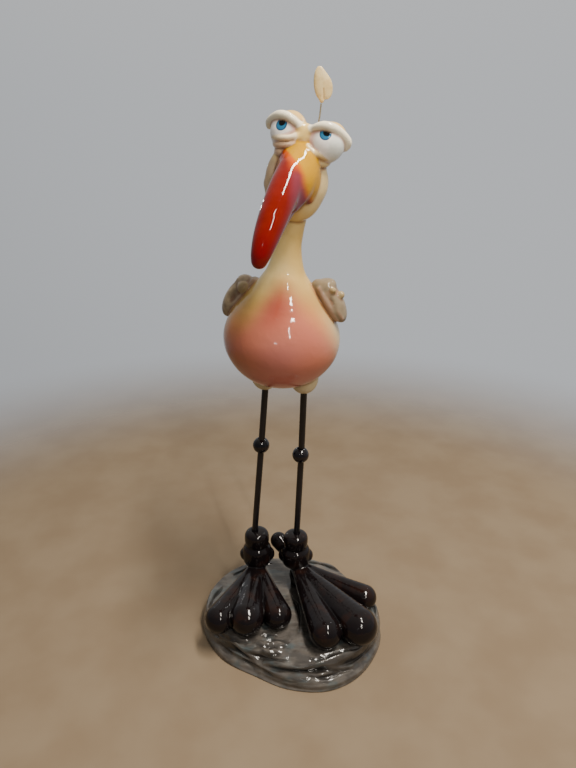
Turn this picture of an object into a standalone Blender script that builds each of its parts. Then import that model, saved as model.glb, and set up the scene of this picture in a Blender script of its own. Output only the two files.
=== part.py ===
"""Glazed ceramic bird on two bent steel legs, standing on a low ceramic ground.

Metres, +Z up. The origin is the middle of the ground's underside. The bird looks along -Y,
and its left and right are named as the viewer in front of it sees them.
"""
import math

import bmesh
import bpy
from mathutils import Matrix, Vector

# Driving sizes of the ground
BASE_WIDTH = 0.177
BASE_DEPTH = 0.158
BASE_HEIGHT = 0.025
BASE_LEDGE = 0.0015

# Driving sizes of the legs
ROD_DIAMETER = 0.006
KNEE_DIAMETER = 0.0158
LEG_LENGTH = 0.218
HIP_SPREAD = 0.036
HIP_CENTRE = (-0.0066, 0.028)
THIGH_DIAMETER = 0.0245
SOCKET_DEPTH = 0.014

# Driving sizes of the feet
LEFT_FOOT_LENGTH = 0.087
RIGHT_FOOT_LENGTH = 0.114
ANKLE_DIAMETER = 0.0220
LEFT_ANKLE_HEIGHT = 0.063
RIGHT_ANKLE_HEIGHT = 0.0598
LEFT_ANKLE = (-0.0350, 0.038)
RIGHT_ANKLE = (0.0046, 0.038)

# Driving sizes of the bird
BODY_WIDTH = 0.100
NECK_LENGTH = 0.150
NECK_DIAMETER = 0.0200
HEAD_WIDTH = 0.060
BEAK_LENGTH = 0.087
WING_LENGTH = 0.046
BODY_TURN = math.radians(-15.0)
HEAD_TURN = math.radians(-15.0)
HEAD_ROLL = math.radians(13.5)

# Driving sizes of the crest
WIRE_DIAMETER = 0.0012
WIRE_LENGTH = 0.0150
WIRE_SOCKET = 0.006
LEAF_HEIGHT = 0.0245
LEAF_WIDTH = 0.0135
LEAF_THICKNESS = 0.0030

# Fits
HOLE_CLEARANCE = 0.0003
TOUCH_GAP = 0.0003

# How finely the cast pieces are meshed
BIRD_GRAIN = 0.0013
FOOT_GRAIN = 0.0013
LEAF_GRAIN = 0.0005
BIRD_FACES = 4700
FOOT_FACES = 1200
LEAF_FACES = 300
BASE_SIDES = 60
EPS = 0.00001

BODY_UNIT = BODY_WIDTH / 100.0
HEAD_UNIT = HEAD_WIDTH / 60.0
BEAK_UNIT = BEAK_LENGTH / 87.0
WING_UNIT = WING_LENGTH / 46.0


# Scene, collections and materials

def empty_scene():
    for item in list(bpy.data.objects):
        bpy.data.objects.remove(item, do_unlink=True)


def new_collection(name):
    collection = bpy.data.collections.new(name)
    bpy.context.scene.collection.children.link(collection)
    return collection


def glaze(name, hex_colour, roughness, metallic=0.0):
    channels = []
    for start in (0, 2, 4):
        value = int(hex_colour[start:start + 2], 16) / 255.0
        linear = value / 12.92 if value <= 0.04045 else ((value + 0.055) / 1.055) ** 2.4
        channels.append(linear)
    material = bpy.data.materials.new(name)
    material.use_nodes = True
    shader = material.node_tree.nodes["Principled BSDF"]
    shader.inputs["Base Color"].default_value = (*channels, 1.0)
    shader.inputs["Roughness"].default_value = roughness
    shader.inputs["Metallic"].default_value = metallic
    material.diffuse_color = (*channels, 1.0)
    return material


empty_scene()
PARTS = new_collection("ceramic_bird_statue")
CUTTERS = new_collection("cutters")


# Turning working meshes into named pieces

def add_object(name, mesh, collection):
    item = bpy.data.objects.new(name, mesh)
    collection.objects.link(item)
    return item


def mesh_from_bmesh(shape, name):
    mesh = bpy.data.meshes.new(name)
    shape.to_mesh(mesh)
    shape.free()
    return mesh


def evaluated_mesh(item):
    graph = bpy.context.evaluated_depsgraph_get()
    graph.update()
    return bpy.data.meshes.new_from_object(item.evaluated_get(graph))


def settle(item):
    """Replace an object's mesh by its evaluated mesh and drop its modifiers."""
    mesh = evaluated_mesh(item)
    old = item.data
    item.modifiers.clear()
    item.data = mesh
    bpy.data.meshes.remove(old)
    return item


def as_cutter(item):
    item.hide_render = True
    item.display_type = "WIRE"
    return item


def cut(item, cutter):
    boolean = item.modifiers.new("cut by " + cutter.name, "BOOLEAN")
    boolean.operation = "DIFFERENCE"
    boolean.solver = "EXACT"
    boolean.object = cutter


def finish_piece(item, material, crease_angle=40.0):
    item.data.materials.clear()
    item.data.materials.append(material)
    item.data.shade_smooth()
    item.data.set_sharp_from_angle(angle=math.radians(crease_angle))


# Lumps of clay: ellipsoids and tapering limbs, fused into one skin

def smooth_path(points, steps):
    """Points on a Catmull-Rom curve through rows of any length, the radius among them."""
    rows = [Vector(row) for row in points]
    rows = [2.0 * rows[0] - rows[1]] + rows + [2.0 * rows[-1] - rows[-2]]
    path = []
    for i in range(1, len(rows) - 2):
        a, b, c, d = rows[i - 1:i + 3]
        for k in range(steps):
            t = k / steps
            path.append(0.5 * (2.0 * b + (c - a) * t + (2.0 * a - 5.0 * b + 4.0 * c - d) * t ** 2
                               + (3.0 * b - a - 3.0 * c + d) * t ** 3))
    path.append(rows[-2])
    return path


def ellipsoid(centre, radii, turn=None, segments=24, rings=14):
    shape = bmesh.new()
    placing = Matrix.Translation(centre) @ (turn or Matrix.Identity(4)) @ Matrix.Diagonal((*radii, 1.0))
    bmesh.ops.create_uvsphere(shape, u_segments=segments, v_segments=rings, radius=1.0, matrix=placing)
    return shape


def tube_mesh(name, points, radii, resolution=2):
    """A closed tube through the points, from a curve with its own radius at each point."""
    curve = bpy.data.curves.new(name, "CURVE")
    curve.dimensions = "3D"
    curve.bevel_depth = 1.0
    curve.bevel_resolution = resolution
    curve.use_fill_caps = True
    spline = curve.splines.new("POLY")
    spline.points.add(len(points) - 1)
    for knot, place, radius in zip(spline.points, points, radii):
        knot.co = (*place, 1.0)
        knot.radius = radius
    item = add_object(name, curve, CUTTERS)
    mesh = evaluated_mesh(item)
    bpy.data.objects.remove(item, do_unlink=True)
    bpy.data.curves.remove(curve)
    shape = bmesh.new()
    shape.from_mesh(mesh)
    bpy.data.meshes.remove(mesh)
    bmesh.ops.remove_doubles(shape, verts=shape.verts, dist=EPS)
    bmesh.ops.recalc_face_normals(shape, faces=shape.faces)
    return mesh_from_bmesh(shape, name)


def limb(rows, steps=6):
    """A limb with round ends through rows of (x, y, z, radius)."""
    path = smooth_path(rows, steps)
    mesh = tube_mesh("limb", [row[:3] for row in path], [row[3] for row in path], resolution=4)
    shape = bmesh.new()
    shape.from_mesh(mesh)
    bpy.data.meshes.remove(mesh)
    for row in (path[0], path[-1]):
        add_lump(shape, ellipsoid(row[:3], (row[3],) * 3, segments=16, rings=10))
    return shape


def turned_lump(rows, placing, steps=48):
    """A closed turned form from rows of (height, radius), from the bottom up."""
    shape = bmesh.new()
    knots = [shape.verts.new((radius, 0.0, height)) for height, radius in rows]
    for low, high in zip(knots, knots[1:]):
        shape.edges.new((low, high))
    item = add_object("profile", mesh_from_bmesh(shape, "profile"), CUTTERS)
    screw = item.modifiers.new("turn", "SCREW")
    screw.steps = steps
    screw.render_steps = steps
    screw.use_merge_vertices = True
    screw.merge_threshold = EPS
    mesh = evaluated_mesh(item)
    bpy.data.objects.remove(item, do_unlink=True)
    mesh.transform(placing)
    turned = bmesh.new()
    turned.from_mesh(mesh)
    bpy.data.meshes.remove(mesh)
    bmesh.ops.remove_doubles(turned, verts=turned.verts, dist=EPS)
    bmesh.ops.recalc_face_normals(turned, faces=turned.faces)
    return turned


def add_lump(shape, lump):
    mesh = mesh_from_bmesh(lump, "lump")
    shape.from_mesh(mesh)
    bpy.data.meshes.remove(mesh)


def fuse(name, lumps, grain, rounds, faces):
    """One skin over all the lumps, smoothed and thinned to about the given number of faces."""
    shape = bmesh.new()
    for lump in lumps:
        add_lump(shape, lump)
    item = add_object(name, mesh_from_bmesh(shape, name), PARTS)
    remesh = item.modifiers.new("one skin", "REMESH")
    remesh.mode = "VOXEL"
    remesh.voxel_size = grain
    remesh.use_smooth_shade = True
    smooth = item.modifiers.new("soften", "SMOOTH")
    smooth.factor = 0.5
    smooth.iterations = rounds
    settle(item)
    triangles = sum(len(face.vertices) - 2 for face in item.data.polygons)
    thin = item.modifiers.new("thin out", "DECIMATE")
    thin.ratio = min(1.0, faces / triangles)
    return settle(item)


# The ground: an uneven outline, stepped like layered rock where it faces front

# Radii of the outline every 30 degrees from +X, as shares of the largest
OUTLINE = (0.98, 0.87, 0.92, 0.90, 0.96, 1.00, 0.97, 0.85, 0.76, 0.83, 0.93, 0.96)
# Rock layers: height as a share of the ground's, inset in front as a share of the ground's height
LAYERS = ((0.0, 0.05), (0.10, 0.0), (0.22, 0.03), (0.29, 0.17), (0.46, 0.20), (0.53, 0.36),
          (0.70, 0.40), (0.77, 0.56), (0.92, 0.60), (1.0, 0.76))
BACK_INSET = 0.22


def outline_radius(angle):
    """The outline's radius at an angle: a smooth closed curve through the twelve stations."""
    count = len(OUTLINE)
    place = angle / (2.0 * math.pi) * count
    k = math.floor(place)
    t = place - k
    a, b, c, d = (OUTLINE[(k + i) % count] for i in (-1, 0, 1, 2))
    square = 2.0 * a - 5.0 * b + 4.0 * c - d
    cubic = 3.0 * b - a - 3.0 * c + d
    return 0.5 * (2.0 * b + (c - a) * t + square * t ** 2 + cubic * t ** 3)


def base_outline():
    """The ground's outline, fitted to its width and depth and centred on the origin."""
    points = []
    for i in range(BASE_SIDES):
        angle = 2.0 * math.pi * i / BASE_SIDES
        radius = outline_radius(angle)
        points.append((radius * math.cos(angle), radius * math.sin(angle)))
    sides = []
    for axis, size in ((0, BASE_WIDTH), (1, BASE_DEPTH)):
        low = min(p[axis] for p in points)
        high = max(p[axis] for p in points)
        sides.append([size * ((p[axis] - low) / (high - low) - 0.5) for p in points])
    return [Vector(p) for p in zip(*sides)]


def build_base():
    outline = base_outline()
    shape = bmesh.new()
    rings = []
    for row, (rise, inset) in enumerate(LAYERS):
        ring = []
        for i, point in enumerate(outline):
            angle = 2.0 * math.pi * i / BASE_SIDES
            front = max(0.0, -math.sin(angle))
            wander = BASE_LEDGE * math.sin(3.0 * angle + 1.7 * row) * front * math.sin(math.pi * rise)
            pull = BASE_HEIGHT * inset * (front + BACK_INSET * (1.0 - front)) + wander
            flat = point * (1.0 - max(0.0, pull) / point.length)
            lift = BASE_LEDGE * math.sin(2.0 * angle + 2.3 * row) * front * math.sin(math.pi * rise)
            ring.append(shape.verts.new((flat.x, flat.y, BASE_HEIGHT * rise + lift)))
        rings.append(ring)
    for lower, upper in zip(rings, rings[1:]):
        for i in range(BASE_SIDES):
            j = (i + 1) % BASE_SIDES
            shape.faces.new((lower[i], lower[j], upper[j], upper[i]))
    shape.faces.new(list(reversed(rings[0])))
    shape.faces.new(rings[-1])
    base = add_object("base", mesh_from_bmesh(shape, "base"), PARTS)
    finish_piece(base, glaze("grey_stone_glaze", "7d7d78", 0.22))
    return base


# The legs: one bent rod each, from the ankle's socket through the knee ball into the thigh

def hip_place(side):
    turn = Matrix.Rotation(BODY_TURN, 2)
    across = turn @ Vector((side * HIP_SPREAD / 2.0, 0.0))
    return Vector((HIP_CENTRE[0] + across.x, HIP_CENTRE[1] + across.y, BASE_HEIGHT + LEG_LENGTH))


# Each leg: its ankle, how far off the ankle's middle the rod goes in, the height of its knee as
# a share of the leg, and how far the knee stands back
LEGS = {
    "left": dict(side=-1, ankle=LEFT_ANKLE, ankle_height=LEFT_ANKLE_HEIGHT,
                 entry=(-0.0018, 0.0), knee_share=0.734, knee_back=0.0015),
    "right": dict(side=1, ankle=RIGHT_ANKLE, ankle_height=RIGHT_ANKLE_HEIGHT,
                  entry=(0.0010, 0.0), knee_share=0.695, knee_back=0.0030),
}


def leg_points(leg):
    """The rod's ankle, knee and hip points, on its centre line."""
    entry_x, entry_y = leg["entry"]
    rise = leg["ankle_height"]
    ankle = Vector((leg["ankle"][0] + entry_x, leg["ankle"][1] + entry_y, BASE_HEIGHT + rise))
    hip = hip_place(leg["side"])
    share = (leg["knee_share"] * LEG_LENGTH - rise) / (LEG_LENGTH - rise)
    knee = ankle.lerp(hip, share)
    knee.y += leg["knee_back"]
    return ankle, knee, hip


def rod_path(leg, trim):
    """The rod from socket to socket, short of each socket's end by trim."""
    ankle, knee, hip = leg_points(leg)
    down = (ankle - knee).normalized()
    up = (hip - knee).normalized()
    bottom = ankle + down * (SOCKET_DEPTH - trim)
    top = hip + up * (SOCKET_DEPTH - trim)
    bend = ROD_DIAMETER
    return [bottom, knee + down * bend, knee + (down + up) * bend * 0.25, knee + up * bend, top]


def build_rod(name, leg):
    path = rod_path(leg, TOUCH_GAP)
    mesh = tube_mesh(name, path, [ROD_DIAMETER / 2.0] * len(path), resolution=4)
    rod = add_object(name, mesh, PARTS)
    finish_piece(rod, glaze("black_enamelled_steel", "0b0a0c", 0.35))
    return rod


def build_rod_cutter(name, leg):
    """The hole that the rod runs in, the same path wider by the clearance."""
    path = rod_path(leg, 0.0)
    radius = ROD_DIAMETER / 2.0 + HOLE_CLEARANCE
    mesh = tube_mesh(name, path, [radius] * len(path), resolution=4)
    return as_cutter(add_object(name, mesh, CUTTERS))


def build_knee(name, leg, cutter):
    knee = leg_points(leg)[1]
    radius = KNEE_DIAMETER / 2.0
    shape = ellipsoid(knee, (radius, radius, radius), segments=14, rings=8)
    ball = add_object(name, mesh_from_bmesh(shape, name), PARTS)
    cut(ball, cutter)
    finish_piece(ball, glaze("black_glazed_bead", "0c0a0d", 0.12))
    return ball


# The feet: an ankle bead and cuff, and teardrop toes in a web, cut flat where they stand

# Each toe: heading from straight ahead towards +X in degrees, reach and ball radius in
# hundredths of the foot's length, where the length runs from ankle to the longest toe's front.
LEFT_TOES = ((-25.0, 87.0, 14.6), (-5.5, 80.0, 18.0), (19.5, 76.0, 14.8))
RIGHT_TOES = ((16.8, 78.0, 12.6), (34.5, 86.0, 14.2), (60.5, 66.5, 9.8))
# Headings of each foot and of its back toe, in degrees from straight ahead towards +X
LEFT_FACING = -4.0
RIGHT_FACING = 36.0
LEFT_BACK_TOE = 176.0
RIGHT_BACK_TOE = 222.0
# The ankle's half profile: height as a share of its own, radius as a share of the bead's
ANKLE_PROFILE = ((0.22, 0.0), (0.22, 0.90), (0.32, 1.06), (0.38, 1.26), (0.48, 1.33),
                 (0.58, 1.30), (0.66, 1.12), (0.70, 0.93), (0.74, 1.00), (0.80, 1.06),
                 (0.88, 1.05), (0.95, 0.92), (0.99, 0.62), (1.0, 0.0))
# Heights on the foot as shares of the ankle's
CUFF_SHARE = 0.49
INSTEP_SHARE = 0.33
BACK_TOE_ROOT_SHARE = 0.46
BACK_TOE_TIP_SHARE = 0.58


def foot_point(ankle, heading, distance, height):
    """A place off the ankle's axis, by its heading, its distance and its height over the ground."""
    angle = math.radians(heading)
    across = distance * math.sin(angle)
    ahead = distance * math.cos(angle)
    return (ankle[0] + across, ankle[1] - ahead, BASE_HEIGHT + height)


def ankle_lump(ankle, rise):
    """The cuff and the bead on it, turned about the ankle's upright axis."""
    rows = [(share * rise, width * ANKLE_DIAMETER / 2.0) for share, width in ANKLE_PROFILE]
    return turned_lump(rows, Matrix.Translation((ankle[0], ankle[1], BASE_HEIGHT)))


def foot_lumps(leg, length, toes, facing):
    ankle = leg["ankle"]
    unit = length / 100.0
    radius = ANKLE_DIAMETER / 2.0
    cuff_middle = leg["ankle_height"] * CUFF_SHARE
    instep = leg["ankle_height"] * INSTEP_SHARE
    lumps = [ankle_lump(ankle, leg["ankle_height"])]
    for side in (-90.0, 90.0):
        place = foot_point(ankle, facing + side, radius * 0.84, cuff_middle)
        lumps.append(ellipsoid(place, (radius * 0.70,) * 3, segments=16, rings=10))
    heel = foot_point(ankle, facing + 180.0, radius * 0.1, 0.0)
    lumps.append(ellipsoid(heel, (radius * 1.05, radius * 1.05, instep * 1.5)))
    for heading, reach, ball in toes:
        tip = ball * unit
        start = foot_point(ankle, heading, radius * 0.45, instep)
        bow = foot_point(ankle, heading, reach * unit * 0.5, (instep + tip * 0.9) * 0.5)
        end = foot_point(ankle, heading, reach * unit, tip * 0.94)
        lumps.append(limb([(*start, radius * 0.56), (*bow, tip * 0.72), (*end, tip)]))
    for first, second in zip(toes, toes[1:]):
        heading = 0.5 * (first[0] + second[0])
        reach = 0.5 * (first[1] + second[1]) * unit
        start = foot_point(ankle, heading, 0.0, instep * 0.55)
        end = foot_point(ankle, heading, reach * 0.76, radius * 0.42)
        lumps.append(limb([(*start, radius * 0.85), (*end, radius * 0.62)]))
    return lumps


def back_toe(leg, heading):
    """The raised toe behind the ankle."""
    radius = ANKLE_DIAMETER / 2.0
    rise = leg["ankle_height"]
    start = foot_point(leg["ankle"], heading, radius * 0.6, rise * BACK_TOE_ROOT_SHARE)
    end = foot_point(leg["ankle"], heading, radius * 2.40, rise * BACK_TOE_TIP_SHARE)
    return limb([(*start, radius * 0.64), (*end, radius * 0.78)])


def build_floor_cutter():
    """Everything at and under the ground's top, where the feet stand with a small gap."""
    size = 2.0 * (BASE_WIDTH + BASE_DEPTH)
    middle = Matrix.Translation((0.0, 0.0, BASE_HEIGHT + TOUCH_GAP - size / 2.0))
    shape = bmesh.new()
    bmesh.ops.create_cube(shape, size=size, matrix=middle)
    return as_cutter(add_object("foot_floor", mesh_from_bmesh(shape, "foot_floor"), CUTTERS))


def build_foot(name, leg, length, toes, facing, back_heading, cutters):
    lumps = foot_lumps(leg, length, toes, facing)
    lumps.append(back_toe(leg, back_heading))
    foot = fuse(name, lumps, FOOT_GRAIN, 2, FOOT_FACES)
    for cutter in cutters:
        cut(foot, cutter)
    finish_piece(foot, glaze("black_brown_glaze_" + name, "1a1216", 0.10))
    return foot


# The bird: a turned body and neck, thighs, wings, and the head with its beak

HIPS_MIDDLE = Vector((*HIP_CENTRE, BASE_HEIGHT + LEG_LENGTH))
BODY_MIDDLE = HIPS_MIDDLE + BODY_UNIT * Vector((-2.2, -5.0, 51.0))
BODY_LEAN = Vector((0.085, 0.0, 1.0)).normalized()
HEAD_MIDDLE = BODY_MIDDLE + NECK_LENGTH * Vector((0.1290, -0.0730, 0.9940))

# The wings' middle stands a little to one side of the body's axis
WING_SHIFT = -2.8
# The body's half profile in hundredths of its width: height over the middle, radius
BODY_PROFILE = ((-41.5, 0.0), (-41.0, 9.0), (-38.0, 20.5), (-32.5, 31.0), (-24.0, 40.0),
                (-12.0, 47.3), (0.0, 49.8), (12.0, 48.2), (24.0, 42.6), (36.0, 33.5),
                (44.0, 27.0), (52.0, 21.0), (60.0, 16.4))
# The neck: share of the way from the body's middle to the head's, sideways bow, radius as a
# share of the neck's own
NECK_PROFILE = ((0.37, -0.027, 1.62), (0.42, -0.028, 1.44), (0.47, -0.030, 1.26),
                (0.53, -0.031, 1.09), (0.60, -0.025, 0.98), (0.68, -0.020, 1.02),
                (0.74, -0.016, 1.20))


def body_place(x, y, z):
    """A place in the body's own frame, in hundredths of the body's width."""
    turn = Matrix.Rotation(BODY_TURN, 4, "Z")
    return BODY_MIDDLE + BODY_LEAN * (z * BODY_UNIT) + turn @ Vector((x, y, 0.0)) * BODY_UNIT


def head_turn():
    return Matrix.Rotation(HEAD_TURN, 4, "Z") @ Matrix.Rotation(HEAD_ROLL, 4, "Y")


def head_place(x, y, z):
    """A place in the head's own frame, in sixtieths of the head's width."""
    return HEAD_MIDDLE + head_turn() @ Vector((x, y, z)) * HEAD_UNIT


def body_lump():
    """The pear-shaped body, turned about its leaning axis."""
    rows = [(height * BODY_UNIT, radius * BODY_UNIT) for height, radius in BODY_PROFILE]
    rows.append((rows[-1][0], 0.0))
    lean = BODY_LEAN.to_track_quat("Z", "Y").to_matrix().to_4x4()
    return turned_lump(rows, Matrix.Translation(BODY_MIDDLE) @ lean)


def neck_lump():
    rows = []
    for share, bow, width in NECK_PROFILE:
        place = BODY_MIDDLE.lerp(HEAD_MIDDLE, share) + Vector((bow * NECK_LENGTH, 0.0, 0.0))
        rows.append((*place, width * NECK_DIAMETER / 2.0))
    return limb(rows)


def thigh_lump(side):
    hip = hip_place(side)
    radius = THIGH_DIAMETER / 2.0
    rows = [(0.50, 0.50), (0.62, 0.76), (0.95, 0.97), (1.5, 1.02), (3.2, 1.1)]
    return limb([(hip.x, hip.y, hip.z + rise * radius, width * radius) for rise, width in rows])


def wing_lumps(side):
    """A short folded wing on the shoulder, with a knuckle, a thumb and a ridge along its front."""
    def place(x, y, z):
        return body_place(side * x + WING_SHIFT, y, z)

    def grow(*sizes):
        return [size * WING_UNIT for size in sizes]

    tilt = Matrix.Rotation(BODY_TURN, 4, "Z") @ Matrix.Rotation(side * math.radians(-34.0), 4, "Y")
    lumps = [ellipsoid(place(40.0, 4.0, 33.5), grow(8.4, 12.0, 20.0), tilt)]
    lumps.append(ellipsoid(place(34.5, 3.0, 43.5), grow(10.5, 10.0, 8.0), tilt))
    lumps.append(ellipsoid(place(36.5, -6.5, 42.5), grow(5.0, 5.0, 5.0)))
    lumps.append(ellipsoid(place(44.5, -3.0, 30.0), grow(6.2, 7.0, 10.5), tilt))
    ridge = [(26.0, -7.0, 49.0, 2.2), (35.5, -10.0, 39.0, 2.6), (44.5, -10.0, 26.5, 2.6)]
    lumps.append(limb([(*place(x, y, z), r * WING_UNIT) for x, y, z, r in ridge]))
    return lumps


# Forms of the head, all in sixtieths of its width; the eyes and lids are a mirrored pair
UPPER_LID = ((4.0, -18.5, 15.0, 2.2), (9.0, -21.5, 18.6, 3.0), (15.5, -21.5, 20.6, 3.4),
             (22.0, -18.0, 19.4, 3.5), (27.0, -13.0, 16.2, 3.4), (29.3, -8.5, 12.0, 3.4),
             (28.0, -6.0, 8.5, 3.0))
LOWER_LID = ((5.0, -22.0, 8.5, 1.8), (10.5, -24.2, 4.5, 2.4), (17.0, -22.0, 2.2, 2.6),
             (23.0, -15.5, 2.0, 2.4), (26.0, -8.0, 4.0, 2.2))
EYE_BAG = ((9.5, -19.0, -1.0, 2.5), (15.5, -17.5, -3.6, 3.0), (20.0, -11.0, -3.6, 2.8),
           (20.5, -4.0, -1.0, 2.4))
# The beak in 87ths of its length, from its root: the upper half, the lower half and the flare
# where it meets the face
BEAK_ROOT = (0.0, -14.0, -11.0)
UPPER_BEAK = ((0.0, 0.0, 5.0, 11.0), (0.0, -10.0, -1.0, 12.0), (0.0, -22.0, -11.0, 11.8),
              (0.0, -33.0, -23.0, 11.2), (0.0, -41.5, -35.0, 10.6), (0.0, -48.0, -47.0, 9.3),
              (0.0, -52.0, -57.0, 7.4), (0.0, -53.0, -62.5, 5.8))
LOWER_BEAK = ((0.0, 2.0, -14.0, 12.0), (0.0, -11.0, -18.0, 10.8), (0.0, -25.0, -27.0, 9.2),
              (0.0, -37.0, -39.0, 7.5))
BEAK_FLARE = ((0.0, -1.0, -3.0), (18.4, 10.5, 21.0))


def head_lumps():
    turn = head_turn()

    def scaled(*sizes):
        return [HEAD_UNIT * size for size in sizes]

    lumps = [ellipsoid(head_place(0.0, -1.0, 3.0), scaled(22.0, 18.5, 15.5), turn)]
    lumps.append(ellipsoid(head_place(0.0, -7.5, -22.0), scaled(21.5, 16.5, 22.5), turn))
    lumps.append(ellipsoid(head_place(0.5, -6.0, -35.0), scaled(19.0, 14.5, 16.0), turn))
    lumps.append(ellipsoid(head_place(0.0, -16.0, 10.0), scaled(7.0, 7.0, 9.0), turn))
    for side in (-1.0, 1.0):
        lumps.append(ellipsoid(head_place(side * 16.0, -0.5, 12.0), scaled(12.3, 12.3, 12.3), turn))
        lumps.append(ellipsoid(head_place(side * 15.3, -10.5, 9.0), scaled(13.8, 13.8, 13.8), turn))
        lumps.append(ellipsoid(head_place(side * 18.6, -8.0, -27.0), scaled(4.6, 4.6, 4.6), turn))
        for rows in (UPPER_LID, LOWER_LID, EYE_BAG):
            lumps.append(limb([(*head_place(side * x, y, z), r * HEAD_UNIT) for x, y, z, r in rows]))
    return lumps


def beak_lumps():
    root = head_place(*BEAK_ROOT)
    turn = head_turn()

    def place(x, y, z):
        return root + turn @ Vector((x, y, z)) * BEAK_UNIT

    lumps = []
    for rows in (UPPER_BEAK, LOWER_BEAK):
        lumps.append(limb([(*place(x, y, z), r * BEAK_UNIT) for x, y, z, r in rows]))
    middle, radii = BEAK_FLARE
    lumps.append(ellipsoid(place(*middle), [BEAK_UNIT * r for r in radii], turn))
    return lumps


def crest_points():
    """The wire's foot on the crown, its direction and its top, where the leaf sits."""
    foot = head_place(3.1, 4.0, 18.9)
    rise = Vector((0.15, 0.0, 1.0)).normalized()
    return foot, rise, foot + rise * WIRE_LENGTH


def build_bird(cutters):
    lumps = [body_lump(), neck_lump()] + beak_lumps() + head_lumps()
    for side in (-1, 1):
        lumps.append(thigh_lump(side))
        lumps += wing_lumps(side)
    bird = fuse("bird", lumps, BIRD_GRAIN, 2, BIRD_FACES)
    for cutter in cutters:
        cut(bird, cutter)
    finish_piece(bird, glaze("cream_blush_glaze", "d9b98a", 0.10))
    return bird


# The crest: a thin wire in the crown with a folded leaf on its end

def build_crest_cutter():
    """The hole in the crown that the wire stands in."""
    foot, rise, _ = crest_points()
    path = [foot - rise * WIRE_SOCKET, foot + rise * WIRE_LENGTH * 0.5]
    radius = WIRE_DIAMETER / 2.0 + HOLE_CLEARANCE
    mesh = tube_mesh("crest_hole", path, [radius] * len(path), resolution=2)
    return as_cutter(add_object("crest_hole", mesh, CUTTERS))


def build_crest_wire():
    foot, rise, top = crest_points()
    path = [foot - rise * (WIRE_SOCKET - TOUCH_GAP), foot, top]
    mesh = tube_mesh("crest_wire", path, [WIRE_DIAMETER / 2.0] * len(path), resolution=2)
    wire = add_object("crest_wire", mesh, PARTS)
    finish_piece(wire, glaze("dull_steel_wire", "6b6156", 0.45, 0.8))
    return wire


def build_crest_leaf():
    _, rise, top = crest_points()
    high = LEAF_HEIGHT
    wide = LEAF_WIDTH
    thick = LEAF_THICKNESS / 2.0
    stem = top + rise * TOUCH_GAP

    def place(x, z):
        return stem + Vector((x * wide, 0.0, z * high))

    lean_left = Matrix.Rotation(math.radians(3.0), 4, "Y")
    lean_right = Matrix.Rotation(math.radians(-16.0), 4, "Y")
    lumps = [ellipsoid(place(-0.06, 0.53), (wide * 0.34, thick, high * 0.47), lean_left)]
    lumps.append(ellipsoid(place(0.22, 0.46), (wide * 0.37, thick, high * 0.39), lean_right))
    lumps.append(ellipsoid(place(0.02, 0.10), (wide * 0.16, thick, high * 0.10)))
    leaf = fuse("crest_leaf", lumps, LEAF_GRAIN, 2, LEAF_FACES)
    finish_piece(leaf, glaze("cream_bisque_leaf", "d8c394", 0.45))
    return leaf


def build_statue():
    build_base()
    floor = build_floor_cutter()
    holes = {}
    for side, leg in LEGS.items():
        holes[side] = build_rod_cutter(side + "_leg_hole", leg)
        build_rod(side + "_leg_rod", leg)
        build_knee(side + "_knee_ball", leg, holes[side])
    build_foot("left_foot", LEGS["left"], LEFT_FOOT_LENGTH, LEFT_TOES,
               LEFT_FACING, LEFT_BACK_TOE, (floor, holes["left"]))
    build_foot("right_foot", LEGS["right"], RIGHT_FOOT_LENGTH, RIGHT_TOES,
               RIGHT_FACING, RIGHT_BACK_TOE, (floor, holes["right"]))
    build_bird((holes["left"], holes["right"], build_crest_cutter()))
    build_crest_wire()
    build_crest_leaf()


build_statue()
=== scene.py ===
"""The looks of a glazed ceramic bird on two bent legs, standing on a low ceramic ground.

Metres, +Z up, in the frame's own axes: the bird looks along -Y, turned a little towards -X, and
left and right are those of a viewer in front of it. Small forms are written in millimetres and
turned to metres by MM.
"""
import math

import bmesh
import bpy
import numpy as np
from mathutils import Matrix, Vector


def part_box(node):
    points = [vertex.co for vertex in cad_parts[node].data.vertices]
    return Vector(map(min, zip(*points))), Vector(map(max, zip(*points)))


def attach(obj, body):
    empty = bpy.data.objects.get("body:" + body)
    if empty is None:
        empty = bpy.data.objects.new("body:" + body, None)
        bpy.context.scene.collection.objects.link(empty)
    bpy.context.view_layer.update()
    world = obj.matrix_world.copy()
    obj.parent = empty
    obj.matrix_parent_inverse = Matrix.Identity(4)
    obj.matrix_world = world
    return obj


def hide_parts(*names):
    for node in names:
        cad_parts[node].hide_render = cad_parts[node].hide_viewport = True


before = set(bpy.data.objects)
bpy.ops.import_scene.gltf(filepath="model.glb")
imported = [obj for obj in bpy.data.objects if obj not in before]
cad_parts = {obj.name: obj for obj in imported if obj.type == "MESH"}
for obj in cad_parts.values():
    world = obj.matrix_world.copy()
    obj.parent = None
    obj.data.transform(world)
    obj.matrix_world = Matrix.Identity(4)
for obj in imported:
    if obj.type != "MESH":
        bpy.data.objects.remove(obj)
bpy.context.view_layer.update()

# The ground
# A cast ceramic rock with a flat foot that carries the feet: smooth where they stand, and pushed
# into overlapping folds in front, under a thick warm grey glaze that goes bluish in patches.

MM = 0.001
GROUND_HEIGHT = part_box("base")[1].z
# Radii of the outline every 30 degrees from +X, as shares of the largest
GROUND_OUTLINE = (0.98, 0.87, 0.92, 0.9, 0.96, 1.00, 0.97, 0.85, 0.76, 0.83, 0.93, 0.96)
# The front's slope: height share, and inset as a share of the ground's height
GROUND_SLOPE = ((0, 0.05), (0.06, 0), (0.26, 0.04), (0.36, 0.12), (0.54, 0.18), (0.64, 0.32),
    (0.8, 0.42), (0.9, 0.58), (0.97, 0.76), (1, 0.95))
BACK_SLOPE_SHARE = 0.22
GROUND_AROUND = 600
GROUND_UP = 50
GROUND_ACROSS = 110
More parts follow.
